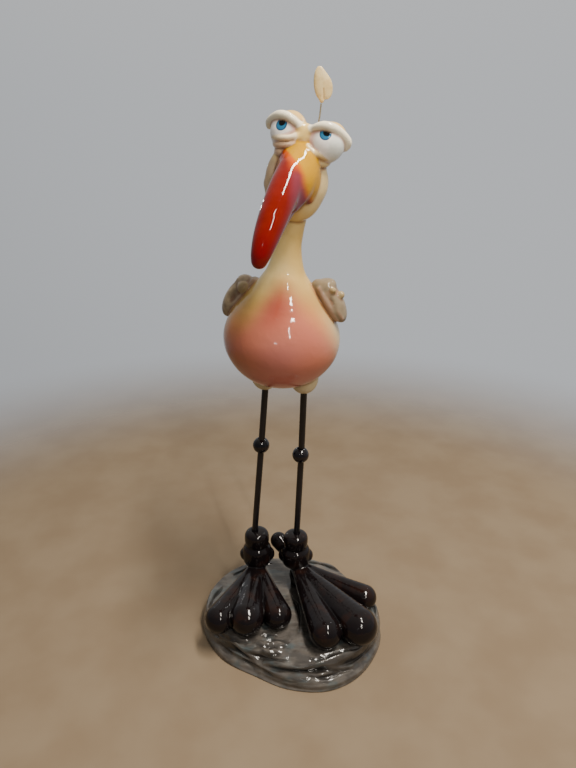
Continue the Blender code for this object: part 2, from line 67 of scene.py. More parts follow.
# The folds in plan, in millimetres: depth and the points each runs through
GROUND_FOLDS = (
    (2, ((-76, -24), (-62, -36), (-51, -42), (-41, -45))),
    (1, ((-28, -38), (-20, -37.5), (-13, -39))),
    (1.2, ((-23, -44), (-13, -43.5), (-2, -46))),
    (1.6, ((-34, -47), (-20, -50), (-4, -50))),
    (1.6, ((-30, -53), (-20, -57), (-9, -58))),
    (2.2, ((-72, -31), (-61, -40), (-50, -47), (-33, -59))),
    (2, ((-44, -50), (-24, -58), (-4, -64))),
    (2.6, ((-28, -62), (-10, -68), (12, -70), (38, -68), (56, -62))),
    (2, ((16, -64), (30, -62), (44, -57), (62, -50))),
    (2.4, ((20, -70), (50, -61), (68, -47), (80, -31))),
    (1.8, ((14, -75), (32, -73), (55, -63))),
    (1.6, ((-81, -4), (-78, 13), (-70, 29))),
    (1.8, ((-62, 46), (-44, 58), (-20, 65))),
    (1.4, ((8, 70), (34, 64), (54, 51))),
    (1.8, ((66, 41), (76, 22), (81, 2), (82, -14))),
    (1, ((0, 14), (6, 0), (8, -18), (6, -34))),
)
FOLD_DEPTH = 1.7
FOLD_WIDTH = 1.35
LIP_SHARE = 0.9
FRONT_SAG = 1.6


def linear(hex_colour):
    """An sRGB hex colour as linear red, green, blue and alpha."""
    channels = []
    for start in (0, 2, 4):
        value = int(hex_colour[start:start + 2], 16) / 255
        channels.append(value / 12.92 if value <= 0.04045 else ((value + 0.055) / 1.055) ** 2.4)
    return (*channels, 1)


def add_node(owner, kind, settings, inputs, output=0):
    """Adds a shader node and returns one of its outputs.

    An input takes a value, an sRGB hex colour or the output of another node.
    """
    tree = owner.node_tree
    node = tree.nodes.new("ShaderNode" + kind)
    for name, value in settings.items():
        setattr(node, name, value)
    for name, value in inputs.items():
        if isinstance(value, bpy.types.NodeSocket):
            tree.links.new(value, node.inputs[name])
        else:
            node.inputs[name].default_value = linear(value) if isinstance(value, str) else value
    return node.outputs[output]


def new_material(name, constants):
    """A material whose constants are set on the shader's own sockets."""
    material = bpy.data.materials.new(name)
    material.use_nodes = True
    shader = material.node_tree.nodes["Principled BSDF"]
    for socket, value in constants.items():
        shader.inputs[socket].default_value = value
    return material


SMOOTH = {"interpolation_type": "SMOOTHSTEP"}


def clouds(owner, size, low, high, stretch=(1, 1, 1)):
    """A mask of soft clouds about size millimetres across: 0 under the noise's low, 1 over its high."""
    place = add_node(owner, "TexCoord", {}, {}, "Object")
    place = add_node(owner, "Mapping", {}, {"Vector": place, "Scale": stretch})
    noise = add_node(owner, "TexNoise", {}, {"Vector": place, "Scale": 1 / (size * MM), "Detail": 3})
    return add_node(owner, "MapRange", SMOOTH, {"Value": noise, "From Min": low, "From Max": high})


def painted(owner, colour, coats):
    """A colour after coats of (mask, strength, colour) are laid over it one by one.

    A mask is the output of a node, or the name of a float attribute of the mesh.
    """
    for mask, strength, coat in coats:
        if isinstance(mask, str):
            mask = add_node(owner, "Attribute", {"attribute_name": mask}, {}, "Fac")
        share = add_node(owner, "Math", {"operation": "MULTIPLY", "use_clamp": True},
            {0: mask, 1: strength})
        colour = add_node(owner, "Mix", {"data_type": "RGBA"}, {0: share, 6: colour, 7: coat}, 2)
    return colour


def dress(material, colour, relief, depth):
    """Gives a material its colour and a fine relief, its mask spanning the depth in millimetres."""
    shader = material.node_tree.nodes["Principled BSDF"]
    normal = add_node(material, "Bump", {}, {"Distance": depth * MM, "Height": relief})
    material.node_tree.links.new(colour, shader.inputs["Base Color"])
    material.node_tree.links.new(normal, shader.inputs["Normal"])


def length(vectors):
    return np.linalg.norm(vectors, axis=-1)


def smooth_curve(rows, steps):
    """Rows read from a Catmull-Rom curve through the given rows."""
    rows = np.asarray(rows, dtype=float)
    rows = np.vstack([2 * rows[0] - rows[1], rows, 2 * rows[-1] - rows[-2]])
    shares = np.arange(steps)[:, None] / steps
    path = []
    for a, b, c, d in zip(rows, rows[1:], rows[2:], rows[3:]):
        cubic = (3 * b - a - 3 * c + d) * shares ** 3
        path.append(0.5 * (2 * b + (c - a) * shares + (2 * a - 5 * b + 4 * c - d) * shares ** 2 + cubic))
    return np.vstack(path + [rows[-2:-1]])


def in_scene(name, data):
    """A new object of the scene that holds the data."""
    item = bpy.data.objects.new(name, data)
    bpy.context.scene.collection.objects.link(item)
    return item


def mesh_piece(name, places, quads, material, masks, sharp_angle=180):
    """A smooth-shaded piece from places and quads, with a float attribute for each mask.

    A quad whose last corner is -1 is a triangle.
    """
    corners = np.where(quads[:, 3] < 0, 3, 4)
    flat = quads.ravel()
    flat = flat[flat >= 0]
    mesh = bpy.data.meshes.new(name)
    mesh.vertices.add(len(places))
    mesh.vertices.foreach_set("co", np.asarray(places, dtype=np.float32).ravel())
    mesh.loops.add(len(flat))
    mesh.loops.foreach_set("vertex_index", flat.astype(np.int32))
    mesh.polygons.add(len(corners))
    starts = np.concatenate([[0], np.cumsum(corners)[:-1]])
    mesh.polygons.foreach_set("loop_start", starts.astype(np.int32))
    mesh.update(calc_edges=True)
    mesh.validate()
    for mask, values in masks.items():
        layer = mesh.attributes.new(mask, "FLOAT", "POINT")
        layer.data.foreach_set("value", np.asarray(values, dtype=np.float32))
    mesh.shade_smooth()
    if sharp_angle < 180:
        mesh.set_sharp_from_angle(angle=math.radians(sharp_angle))
    mesh.materials.append(material)
    return in_scene(name, mesh)


def stand_for(piece, node):
    """Rides the piece on the statue's one body, in place of a node."""
    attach(piece, "root")
    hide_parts(node)


def ground_outline(count):
    """The ground's outline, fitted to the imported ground's box."""
    stations = np.array([(radius,) for radius in GROUND_OUTLINE * 3])
    turn = len(GROUND_OUTLINE) * 64
    radius = smooth_curve(stations, 64)[turn:2 * turn, 0]
    angle = np.arange(turn) * 2 * math.pi / turn
    at = np.arange(count) * 2 * math.pi / count
    radius = np.interp(at, angle, radius, period=2 * math.pi)
    flat = np.stack([radius * np.cos(at), radius * np.sin(at)], axis=1)
    low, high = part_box("base")
    for axis in (0, 1):
        side = flat[:, axis]
        share = (side - side.min()) / (side.max() - side.min())
        flat[:, axis] = low[axis] + share * (high[axis] - low[axis])
    return at, flat


def fold_relief(flat):
    """Height of the folds at places in plan: a sharp crease with a rounded lip behind it; and a mask along
    each crease, where shade is painted.
    """
    relief = np.zeros(len(flat))
    crease = np.zeros(len(flat))
    for depth, points in GROUND_FOLDS:
        path = smooth_curve(points, 6) * MM
        nearest = np.full(len(flat), 1.0)
        side = np.zeros(len(flat))
        share = np.zeros(len(flat))
        for index, (start, end) in enumerate(zip(path[:-1], path[1:])):
            along = end - start
            offset = flat - start
            part = np.clip(offset @ along / (along @ along), 0, 1)
            gap = length(offset - part[:, None] * along)
            closer = gap < nearest
            nearest = np.where(closer, gap, nearest)
            side = np.where(closer, np.sign(along[0] * offset[:, 1] - along[1] * offset[:, 0]), side)
            share = np.where(closer, (index + part) / (len(path) - 1), share)
        fade = np.clip(4 * share * (1 - share), 0, 1) ** 0.6
        width = FOLD_WIDTH * MM * (0.8 + 0.35 * np.sin(9 * share + depth * 5))
        across = nearest * side / width
        lip = LIP_SHARE * np.exp(-((across - 2.4) / 1.8) ** 2)
        relief += FOLD_DEPTH * depth * MM * fade * (lip - np.exp(-across ** 2))
        crease = np.maximum(crease, fade * np.exp(-(across / 1.7) ** 2))
    return relief, crease


def ground_piece():
    """Walls lofted up a stepped slope, a top with worn hollows, the folds, and a flat foot."""
    at, outline = ground_outline(GROUND_AROUND)
    reach = length(outline)
    front = np.maximum(0, -np.sin(at))
    shares = np.linspace(0, 1, GROUND_UP)
    insets = np.interp(shares, *zip(*GROUND_SLOPE))
    rings = []
    for rise, inset in zip(shares, insets):
        wander = 2.2 * MM * np.sin(3 * at + 7 * rise) * math.sin(math.pi * rise)
        pull = GROUND_HEIGHT * inset * (front + BACK_SLOPE_SHARE * (1 - front))
        pull += wander * (0.4 + 0.6 * front)
        flat = outline * (1 - np.maximum(0, pull) / reach)[:, None]
        rings.append(np.column_stack([flat, np.full(len(at), rise * GROUND_HEIGHT)]))
    rim = rings[-1]
    for step in range(1, GROUND_ACROSS):
        flat = rim[:, :2] * (1 - step / GROUND_ACROSS)
        rings.append(np.column_stack([flat, np.full(len(at), GROUND_HEIGHT)]))
    count = len(at)
    places = np.vstack(rings + [[(0, 0, GROUND_HEIGHT)], [(0, 0, 0)]])
    x, y, z = places.T
    relief, crease = fold_relief(places[:, :2])
    brushed = np.sin(y / (1.5 * MM) + 1.6 * np.sin(x / (13 * MM)) + x / (21 * MM))
    worn = np.sin(x / (11 * MM) + 2) * np.sin(y / (9 * MM) + 0.6)
    relief += 0.05 * MM * brushed * (y < 0) + 0.3 * MM * (worn - 1)
    before_feet = (-y / MM - 48 - 0.3 * np.clip(x / MM, 0, 60)) / 10
    relief -= FRONT_SAG * MM * np.clip(before_feet, 0, 1)
    relief *= np.clip(z / (4 * MM), 0, 1)
    on_slope = np.clip((GROUND_HEIGHT - z) / (3 * MM), 0, 1)
    spread = np.maximum(np.hypot(x, y), 1 * MM)
    places[:, 2] += relief * (1 - 0.35 * on_slope)
    places[:, 2] = np.minimum(places[:, 2], GROUND_HEIGHT + 0.25 * MM)
    places[:, :2] *= (1 + np.minimum(relief, 0) * 0.55 * on_slope / spread)[:, None]
    i = np.arange(count)
    j = (i + 1) % count
    quads = [np.stack([k * count + i, k * count + j, (k + 1) * count + j, (k + 1) * count + i], 1)
        for k in range(len(rings) - 1)]
    last = (len(rings) - 1) * count
    none = np.full(count, -1)
    quads.append(np.stack([last + i, last + j, np.full(count, len(places) - 2), none], 1))
    quads.append(np.stack([j, i, np.full(count, len(places) - 1), none], 1))
    return places, np.vstack(quads), crease


# Thick glaze over grey clay: glossy, cloudy brown-grey, bluish patches, and painted shade dark in the
# folds.
material = new_material("warm_grey_glaze", {"Roughness": 0.16, "IOR": 1.5})
blotch = clouds(material, 24, 0.42, 0.6)
blue = clouds(material, 15, 0.5, 0.66, (0.8, 1, 1.4))
streak = clouds(material, 6, 0.42, 0.68, (0.45, 1.2, 1.6))
speck = clouds(material, 1.1, 0.66, 0.74)
# The fold creases are painted near black: painted shade.
colour = painted(material, "4a4642", ((blotch, 1, "363330"), (blue, 0.75, "3c4547"),
    (streak, 0.35, "625d56"), (speck, 0.6, "201d1b"), ("crease", 0.9, "12100e")))
dress(material, colour, streak, 0.12)

places, quads, crease = ground_piece()
ground = mesh_piece("ground", places, quads, material, {"crease": crease})
stand_for(ground, "base")

# The feet
# Two cast webbed feet fixed on the ground, in near-black brown glaze that catches sparks: a collar
# over a lobed cuff, three ball-ended toes with pleats of web between, one raised back toe.

FOOT_GRAIN = 0.75 * MM
ANKLE_RADIUS = 11 * MM
FOOT_GAP = 0.3 * MM
ROD_RADIUS = 3 * MM
HOLE_RADIUS = ROD_RADIUS + 0.3 * MM
SOCKET_DEPTH = 14 * MM
# The cuff and collar's half profile: height as a share of the ankle's, radius of the ankle's radius
CUFF_PROFILE = ((0.35, 0), (0.36, 0.75), (0.385, 1.08), (0.43, 1.27), (0.5, 1.34), (0.6, 1.34),
    (0.67, 1.27), (0.715, 1.1), (0.735, 1.02), (0.755, 1.05), (0.8, 1.11), (0.88, 1.12),
    (0.94, 1.05), (0.98, 0.82), (1, 0.42), (1, 0))
# Each toe: heading from straight ahead towards +X, reach and ball radius in hundredths of the
# foot; each web: how high its middle stands, as a share of the instep
FEET = {
    "left_foot": dict(ankle=(-35, 38), rise=63, length=87, facing=-4, back=176,
        rod=(-36.8, 38), webs=(0.62, 0.66),
        toes=((-25.5, 86.5, 15.4), (-5.5, 80, 18.2), (19.5, 76.5, 14.9))),
    "right_foot": dict(ankle=(4.6, 38), rise=59.8, length=114, facing=36, back=222,
        rod=(5.6, 38), webs=(0.66, 0.82),
        toes=((16.8, 79, 12.9), (34.8, 86.5, 15.2), (60.5, 67.5, 10.6))),
}


def joined(first, second, soft):
    """Two fields of distance as one, with a fillet about as wide as soft where they meet."""
    overlap = np.maximum(soft - np.abs(first - second), 0) / soft
    return np.minimum(first, second) - overlap ** 2 * soft / 4


class Clay:
    """A block of clay as distances to its surface on an even grid, built up lump by lump."""

    def __init__(self, node, grain):
        low, high = (np.array(corner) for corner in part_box(node))
        self.grain = grain
        self.low = low - 4 * grain
        self.count = np.ceil((high - self.low) / grain).astype(int) + 5
        self.field = np.full(self.count, 1.0, dtype=np.float32)

    def add(self, lump, soft, sign=1):
        """Joins a lump on with a fillet of soft millimetres, or with sign -1 carves it out."""
        measure, low, high = lump
        soft = soft * MM
        reach = soft + 2 * self.grain
        first = np.clip(((low - reach - self.low) / self.grain).astype(int), 0, self.count)
        last = np.clip(((high + reach - self.low) / self.grain).astype(int) + 2, 0, self.count)
        axes = [self.low[k] + self.grain * np.arange(first[k], last[k]) for k in range(3)]
        places = np.stack(np.meshgrid(*axes, indexing="ij"), axis=-1)
        cut = tuple(slice(a, b) for a, b in zip(first, last))
        self.field[cut] = sign * joined(sign * self.field[cut], measure(places), soft)

    def carve(self, lump, soft):
        self.add(lump, soft, -1)

    def flatten_below(self, height):
        heights = self.low[2] + self.grain * np.arange(self.count[2])
        self.field = np.maximum(self.field, (height - heights)[None, None, :].astype(np.float32))

    def skin(self):
        """Places and quads of the surface: one place in each cell that the surface crosses."""
        inside = self.field < 0
        cells, spots, rings = [], [], []
        weights = np.array([self.count[1] * self.count[2], self.count[2], 1])
        for axis in range(3):
            near, far = [slice(None)] * 3, [slice(None)] * 3
            near[axis], far[axis] = slice(0, -1), slice(1, None)
            near, far = tuple(near), tuple(far)
            at = np.argwhere(inside[near] != inside[far])
            first = self.field[near][tuple(at.T)].astype(float)
            second = self.field[far][tuple(at.T)].astype(float)
            spot = at.astype(float)
            spot[:, axis] += first / (first - second)
            one, two = (weights[k] for k in range(3) if k != axis)
            home = at @ weights
            ring = np.stack([home - one - two, home - two, home, home - one], axis=1)
            turn = (first < 0) != (axis == 1)
            ring[~turn] = ring[~turn][:, ::-1]
            cells.append(ring.ravel())
            spots.append(np.repeat(spot, 4, axis=0))
            rings.append(ring)
        _, index = np.unique(np.concatenate(cells), return_inverse=True)
        index = index.ravel()
        spots = np.vstack(spots)
        total = np.bincount(index)
        places = np.stack([np.bincount(index, weights=spots[:, k]) / total for k in range(3)], axis=1)
        return self.low + places * self.grain, index.reshape(-1, 4)


def egg(centre, radii, turn=None):
    """An ellipsoid as a lump: a measure of distance and the box that holds it."""
    centre, radii = np.asarray(centre, dtype=float), np.asarray(radii, dtype=float)

    def measure(places):
        local = places - centre
        if turn is not None:
            local = local @ turn
        share = length(local / radii)
        slope = length(local / radii ** 2)
        return share * (share - 1) / np.maximum(slope, 1e-6)
    return measure, centre - radii.max(), centre + radii.max()


def limb(rows, steps=5):
    """A round limb through rows of (x, y, z, radius), as a lump."""
    path = smooth_curve(rows, steps)

    def measure(places):
        nearest = np.full(places.shape[:-1], 1.0)
        for start, end in zip(path[:-1], path[1:]):
            along = end[:3] - start[:3]
            offset = places - start[:3]
            share = np.clip(offset @ along / (along @ along), 0, 1)
            gap = length(offset - share[..., None] * along)
            nearest = np.minimum(nearest, gap - start[3] - share * (end[3] - start[3]))
        return nearest
    widest = path[:, 3].max()
    return measure, path[:, :3].min(axis=0) - widest, path[:, :3].max(axis=0) + widest


def turned(profile, origin, axis, bow=((0, 0, 0),)):
    """A turned lump from rows of (height, radius) up an axis, whose middle bows off it.

    bow holds rows of (height, x, y). The distance is read from a fine table of height and radius.
    """
    step = 0.4 * MM
    margin = 9 * MM
    axis = np.asarray(axis, dtype=float) / np.linalg.norm(axis)
    bow = np.asarray(bow, dtype=float)
    rows = smooth_curve(profile, 8)
    lowest, widest = rows[:, 0].min() - margin, rows[:, 1].max()
    heights = np.arange(lowest, rows[:, 0].max() + margin, step)
    radii = np.arange(0, widest + margin, step)
    at = np.stack(np.meshgrid(heights, radii, indexing="ij"), axis=-1)
    table = np.full(at.shape[:2], 1.0)
    for start, end in zip(rows[:-1], rows[1:]):
        along = end - start
        if along @ along > 0:
            share = np.clip((at - start) @ along / (along @ along), 0, 1)
            table = np.minimum(table, length(at - start - share[..., None] * along))
    edge = np.interp(heights, rows[:, 0], rows[:, 1], left=-1, right=-1)
    table = np.where(radii[None, :] < edge[:, None], -table, table)

    def measure(places):
        offset = places - np.asarray(origin)
        height = offset @ axis
        across = (offset - height[..., None] * axis)[..., :2]
        across[..., 0] -= np.interp(height, bow[:, 0], bow[:, 1])
        across[..., 1] -= np.interp(height, bow[:, 0], bow[:, 2])
        i = np.clip((height - lowest) / step, 0, len(heights) - 1.001)
        j = np.clip(length(across) / step, 0, len(radii) - 1.001)
        a, b = i.astype(int), j.astype(int)
        s, t = i - a, j - b
        low = table[a, b] * (1 - t) + table[a, b + 1] * t
        return low * (1 - s) + (table[a + 1, b] * (1 - t) + table[a + 1, b + 1] * t) * s
    ends = np.stack([origin + axis * rows[0, 0], origin + axis * rows[-1, 0]])
    wide = widest + np.abs(bow[:, 1:]).max()
    return measure, ends.min(axis=0) - wide, ends.max(axis=0) + wide


def relaxed(values, quads, rounds, share=0.5):
    """Values at the places of a mesh, evened out with their neighbours'."""
    pairs = np.vstack([quads[:, [k, (k + 1) % 4]] for k in range(4)])
    pairs = np.vstack([pairs, pairs[:, ::-1]])
    total = np.bincount(pairs[:, 0], minlength=len(values))
    for _ in range(rounds):
        near = np.stack([np.bincount(pairs[:, 0], weights=values[pairs[:, 1], k], minlength=len(values))
            for k in range(values.shape[1])], axis=1)
        values = values + share * (near / total[:, None] - values)
    return values


def crease_shade_and_pooling(places, quads, rounds=14, depth=0.25 * MM):
    """How far each place lies in a crease, from 0 to 1: where shade is painted, and where a thick glaze
    would pool.
    """
    normals = np.zeros_like(places)
    cross = np.cross(places[quads[:, 2]] - places[quads[:, 0]], places[quads[:, 3]] - places[quads[:, 1]])
    for corner in range(4):
        for k in range(3):
            normals[:, k] += np.bincount(quads[:, corner], weights=cross[:, k], minlength=len(places))
    normals /= np.maximum(length(normals), 1e-15)[:, None]
    lift = ((relaxed(places, quads, rounds) - places) * normals).sum(axis=1)
    return np.clip(lift / depth, 0, 1)


def foot_clay(name, foot):
    """A webbed foot, from its web and heel to its toes, pleats, cuff, back toe and rod's socket."""
    x, y = foot["ankle"]

    def at(heading, distance, height):
        """A place off the ankle's axis by heading, distance and height over the ground's top."""
        angle = math.radians(heading)
        ahead, aside = distance * math.cos(angle), distance * math.sin(angle)
        return x * MM + aside, y * MM - ahead, GROUND_HEIGHT + height

    clay = Clay(name, FOOT_GRAIN)
    wide = ANKLE_RADIUS
    unit, rise = foot["length"] * MM / 100, foot["rise"] * MM
    instep = rise * 0.33
    pairs = list(zip(foot["toes"], foot["toes"][1:], foot["webs"]))
    for first, second, web in pairs:
        middle = (first[0] + second[0]) / 2
        reach = 0.5 * (first[1] + second[1]) * unit
        start = at(middle, wide * 0.35, instep * 0.55)
        end = at(middle, reach * 0.74, wide * 0.5 * web)
        clay.add(limb([(*start, wide * 0.72), (*end, wide * 0.9 * web)]), 3)
    heel = at(foot["facing"], wide * 0.4, 0)
    clay.add(egg(heel, (wide * 0.72, wide * 0.72, instep * 1.5)), 3)
    for heading, reach, ball in foot["toes"]:
        tip = ball * unit
        start = at(heading, wide * 0.45, instep)
        bow = at(heading, reach * unit * 0.5, (instep + tip * 0.9) * 0.5)
        end = at(heading, reach * unit, tip * 0.94)
        toe = limb([(*start, wide * 0.54), (*bow, tip * 0.7), (*end, tip)], 10)
        clay.add(toe, 1.6)
    for first, second, web in pairs:
        for share, lift in ((0.36, 1), (0.66, 0.92)):
            heading = first[0] + share * (second[0] - first[0])
            reach = (first[1] + share * (second[1] - first[1])) * unit
            pleat = ((wide * 0.55, instep * 0.98, 2.1), (reach * 0.42, instep * web * lift, 1.9),
                (reach * 0.7, instep * web * 0.6 * lift, 1.6), (reach * 0.92, 2 * MM, 1.3))
            clay.add(limb([(*at(heading, away, height), radius * MM)
                for away, height, radius in pleat]), 1)
    cuff = [(share * rise, width * wide) for share, width in CUFF_PROFILE]
    clay.add(turned(cuff, (x * MM, y * MM, GROUND_HEIGHT), (0, 0, 1)), 1.2)
    for side in (-96, 94):
        lobe = at(side, wide * 0.95, rise * 0.53)
        clay.add(egg(lobe, (wide * 0.68,) * 3), 0.8)
    root = at(foot["back"], wide * 0.6, rise * 0.46)
    tip = at(foot["back"], wide * 2.4, rise * 0.6)
    clay.add(limb([(*root, wide * 0.62), (*tip, wide * 0.8)]), 1.5)
    rod_x, rod_y = foot["rod"]
    top = GROUND_HEIGHT + rise
    hole = [(rod_x * MM, rod_y * MM, top + height, HOLE_RADIUS) for height in (-SOCKET_DEPTH, SOCKET_DEPTH)]
    clay.carve(limb(hole), 0.8)
    clay.flatten_below(GROUND_HEIGHT + FOOT_GAP)
    return clay


# Iron-black glaze: almost black, breaking to red-brown where it runs thin over the pleats.
material = new_material("iron_black_glaze", {"Roughness": 0.07, "IOR": 1.42, "Specular IOR Level": 0.32})
thin = clouds(material, 13, 0.5, 0.7)
ripple = clouds(material, 6, 0.35, 0.7)
# Darker in the hollows: painted shade there, and where the glaze pools.
colour = painted(material, "0e0a0b", ((thin, 0.8, "1d100c"), ("hollow", 0.9, "070506")))
dress(material, colour, ripple, 0.1)

for name, foot in FEET.items():
    places, quads = foot_clay(name, foot).skin()
    places = relaxed(places, quads, 1, 0.4)
    masks = {"hollow": crease_shade_and_pooling(places, quads)}
    piece = mesh_piece(name + "_glazed", places, quads, material, masks)
    stand_for(piece, name)

# The leg rods
# One steel rod a leg, 6 mm, bent once at the knee, painted satin black and set in a socket of the
# foot and one of the thigh.

# Points of each rod in millimetres: in the ankle's socket, at the knee, in the thigh's socket
LEG_POINTS = {
    "left": ((-36.8, 38, 88), (-28.56, 35.46, 185), (-23.99, 32.66, 243)),
    "right": ((5.6, 38, 84.8), (9.31, 33.76, 176.5), (10.79, 23.34, 243)),
}


def rod_tree():
    """Nodes that turn a line of points into a round bar with filleted bends and closed ends."""
    tree = bpy.data.node_groups.new("bent_rod", "GeometryNodeTree")
    tree.interface.new_socket("Line", in_out="INPUT", socket_type="NodeSocketGeometry")
    for label in ("Rod radius", "Bend radius"):
        tree.interface.new_socket(label, in_out="INPUT", socket_type="NodeSocketFloat")
    tree.interface.new_socket("Finish", in_out="INPUT", socket_type="NodeSocketMaterial")
    tree.interface.new_socket("Rod", in_out="OUTPUT", socket_type="NodeSocketGeometry")
    given, result = (tree.nodes.new("NodeGroup" + side) for side in ("Input", "Output"))
    kinds = ("MeshToCurve", "FilletCurve", "CurveToMesh", "RealizeInstances", "SetMaterial")
    steps = [tree.nodes.new("GeometryNode" + kind) for kind in kinds]
    _, fillet, sweep, _, paint = steps
    ring = tree.nodes.new("GeometryNodeCurvePrimitiveCircle")
    fillet.mode = "POLY"
    fillet.inputs["Count"].default_value = 8
    ring.inputs["Resolution"].default_value = 24
    sweep.inputs["Fill Caps"].default_value = True
    for source, target in zip((given, *steps), (*steps, result)):
        tree.links.new(source.outputs[0], target.inputs[0])
    tree.links.new(ring.outputs[0], sweep.inputs["Profile Curve"])
    for label, node, socket in (("Rod radius", ring, "Radius"), ("Bend radius", fillet, "Radius"),
            ("Finish", paint, "Material")):
        tree.links.new(given.outputs[label], node.inputs[socket])
    return tree


def rod_piece(name, points, radius, bend, finish, tree):
    """A rod along the points, made by the tree and turned into a plain mesh."""
    mesh = bpy.data.meshes.new(name + "_line")
    mesh.from_pydata(points, [(i, i + 1) for i in range(len(points) - 1)], [])
    line = in_scene(name + "_line", mesh)
    modifier = line.modifiers.new("bent rod", "NODES")
    modifier.node_group = tree
    values = {"Rod radius": radius, "Bend radius": bend, "Finish": finish}
    for item in tree.interface.items_tree:
        if item.in_out == "INPUT" and item.name in values:
            modifier[item.identifier] = values[item.name]
    graph = bpy.context.evaluated_depsgraph_get()
    graph.update()
    made = bpy.data.meshes.new_from_object(line.evaluated_get(graph))
    bpy.data.objects.remove(line, do_unlink=True)
    shape = bmesh.new()
    shape.from_mesh(made)
    bmesh.ops.remove_doubles(shape, verts=shape.verts, dist=0.001 * MM)
    bmesh.ops.recalc_face_normals(shape, faces=shape.faces)
    shape.to_mesh(made)
    shape.free()
    made.shade_smooth()
    made.set_sharp_from_angle(angle=math.radians(50))
    return in_scene(name, made)


# Black enamel brushed on steel: satin, with faint streaks along the rod.
material = new_material("black_brushed_enamel", {"Roughness": 0.3, "IOR": 1.45})
streak = clouds(material, 2.5, 0.4, 0.7, (1, 1, 0.12))
dress(material, painted(material, "0a090b", ((streak, 1, "141217"),)), streak, 0.05)


def socketed(points, depth):
    """The points with both ends carried on into their sockets."""
    line = [Vector(point) * MM for point in points]
    first = line[0] + (line[0] - line[1]).normalized() * depth
    last = line[-1] + (line[-1] - line[-2]).normalized() * depth
    return [first, *line[1:-1], last]


rods = rod_tree()
for side, points in LEG_POINTS.items():
    rod_line = socketed(points, SOCKET_DEPTH - FOOT_GAP)
    piece = rod_piece(side + "_leg_rod_painted", rod_line, ROD_RADIUS, 2 * ROD_RADIUS, material, rods)
    stand_for(piece, side + "_leg_rod")

# The knee beads
# A small ceramic bead threaded on each rod at its bend, in a black glaze like the feet's, with a
# straight hole for the rod.

BEAD_RADIUS = 7.9 * MM
BEAD_AROUND = 48
BEAD_ALONG = 30


def bead_piece(name, middle, axis, finish):
    """A bead turned about its rod, with a straight hole."""
    edge = math.asin(HOLE_RADIUS / BEAD_RADIUS)
    arc = np.linspace(edge, math.pi - edge, BEAD_ALONG)
    profile = [(BEAD_RADIUS * math.cos(angle), BEAD_RADIUS * math.sin(angle)) for angle in arc]
    profile += [(profile[-1][0] * (1 - share), HOLE_RADIUS) for share in np.linspace(0.25, 1.75, 7)]
    around = np.arange(BEAD_AROUND) * 2 * math.pi / BEAD_AROUND
    circle = np.column_stack([np.cos(around), np.sin(around), np.zeros(BEAD_AROUND)])
    rings = [circle * radius + (0, 0, height) for height, radius in profile]
    turn = np.array(axis.to_track_quat("Z", "Y").to_matrix())
    places = np.vstack(rings) @ turn.T + np.array(middle)
    i = np.arange(BEAD_AROUND)
    j = (i + 1) % BEAD_AROUND
    quads = []
    for ring in range(len(rings)):
        low, high = ring * BEAD_AROUND, (ring + 1) % len(rings) * BEAD_AROUND
        quads.append(np.stack([high + i, high + j, low + j, low + i], 1))
    return mesh_piece(name, places, np.vstack(quads), finish, {}, 60)


# The feet's black glaze on a small bead, faintly pitted.
material = new_material("bead_black_glaze", {"Roughness": 0.12, "IOR": 1.42})
pit = clouds(material, 1.8, 0.45, 0.75)
dress(material, painted(material, "0d0a0d", ((pit, 0.8, "1a1416"),)), pit, 0.06)

for side in ("left", "right"):
    low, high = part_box(side + "_knee_ball")
    ankle, _, hip = (Vector(point) for point in LEG_POINTS[side])
    middle = (Vector(low) + Vector(high)) / 2
    piece = bead_piece(side + "_knee_bead", middle, (hip - ankle).normalized(), material)
    stand_for(piece, side + "_knee_ball")

# The bird
# One cast piece on the two rods: pear body, stub thighs, folded wings, and a neck that runs up
# into a heavy-lidded head. Airbrushed coral and ochre under a clear gloss, beak in red and gold.

BIRD_GRAIN = 0.93 * MM
BODY_MIDDLE = np.array([-8.8, 23, 294])
BODY_LEAN = np.array([0.085, 0, 1]) / math.hypot(0.085, 1)
BODY_TURN = math.radians(-15)
HEAD_MIDDLE = BODY_MIDDLE + np.array([19.35, -10.95, 149.1])
HEAD_ROLL = math.radians(13.5)
THIGH_RADIUS = 13
# The body and neck: height up the leaning axis and radius, in millimetres
TORSO_PROFILE = ((-41.5, 0), (-41, 9), (-38, 20.5), (-32.5, 31), (-24, 40), (-12, 47.3),
    (0, 49.8), (12, 48.2), (24, 42.6), (36, 33.5), (44, 27), (52, 20.8),
    (60, 15.6), (70, 12.6), (80, 10.9), (91, 10.1), (102, 10.3), (110, 9.8), (114, 6.5), (116, 0))
# How far the neck's middle bows off that axis: height, x and y
NECK_BOW = ((30, 0, 0), (45, -0.6, -1.6), (55.3, -1.6, -3.9), (62.9, -1.4, -4.6), (70.5, -1.4, -5.1),
    (79.6, -1.2, -5.8), (90.2, 0.2, -6.6), (102.4, 1.5, -7.4), (111.4, 2.5, -8.1))

# Forms of the head, in its own frame: x to the viewer's right, -y forward, z up, and a radius
EYEBALLS = (((-14.4, -11, 9.5), 12.8), ((15.3, -10.5, 9), 13.8))
UPPER_LID = ((3.5, -18.5, 15.6, 1.7), (8.5, -21, 18.4, 2.6), (14, -21.4, 20.2, 3.1),
    (20, -19, 19.8, 3.3), (25.5, -13.8, 17.2, 3.4), (29.6, -8.6, 13.6, 3.4), (30.2, -6, 10.8, 2.7))
LOWER_LID = ((-5.8, -22.6, 8.4, 1.6), (-10.5, -23.8, 6.6, 1.9), (-16, -22.4, 5.4, 2),
    (-21.6, -17.8, 5, 2), (-23.8, -11.4, 5.2, 1.8))
RIGHT_LID_FLAP = ((23.5, -14.5, 15.6, 2.8), (27.6, -9.6, 12, 3.2), (29, -6.5, 9, 2.6))
FIRST_BAG = ((5, -22.6, 4.2, 1.5), (9, -23, 2.4, 1.9), (15, -21.2, 0.7, 2), (20, -16.2, -0.2, 2),
    (22.3, -10, 0, 1.7))
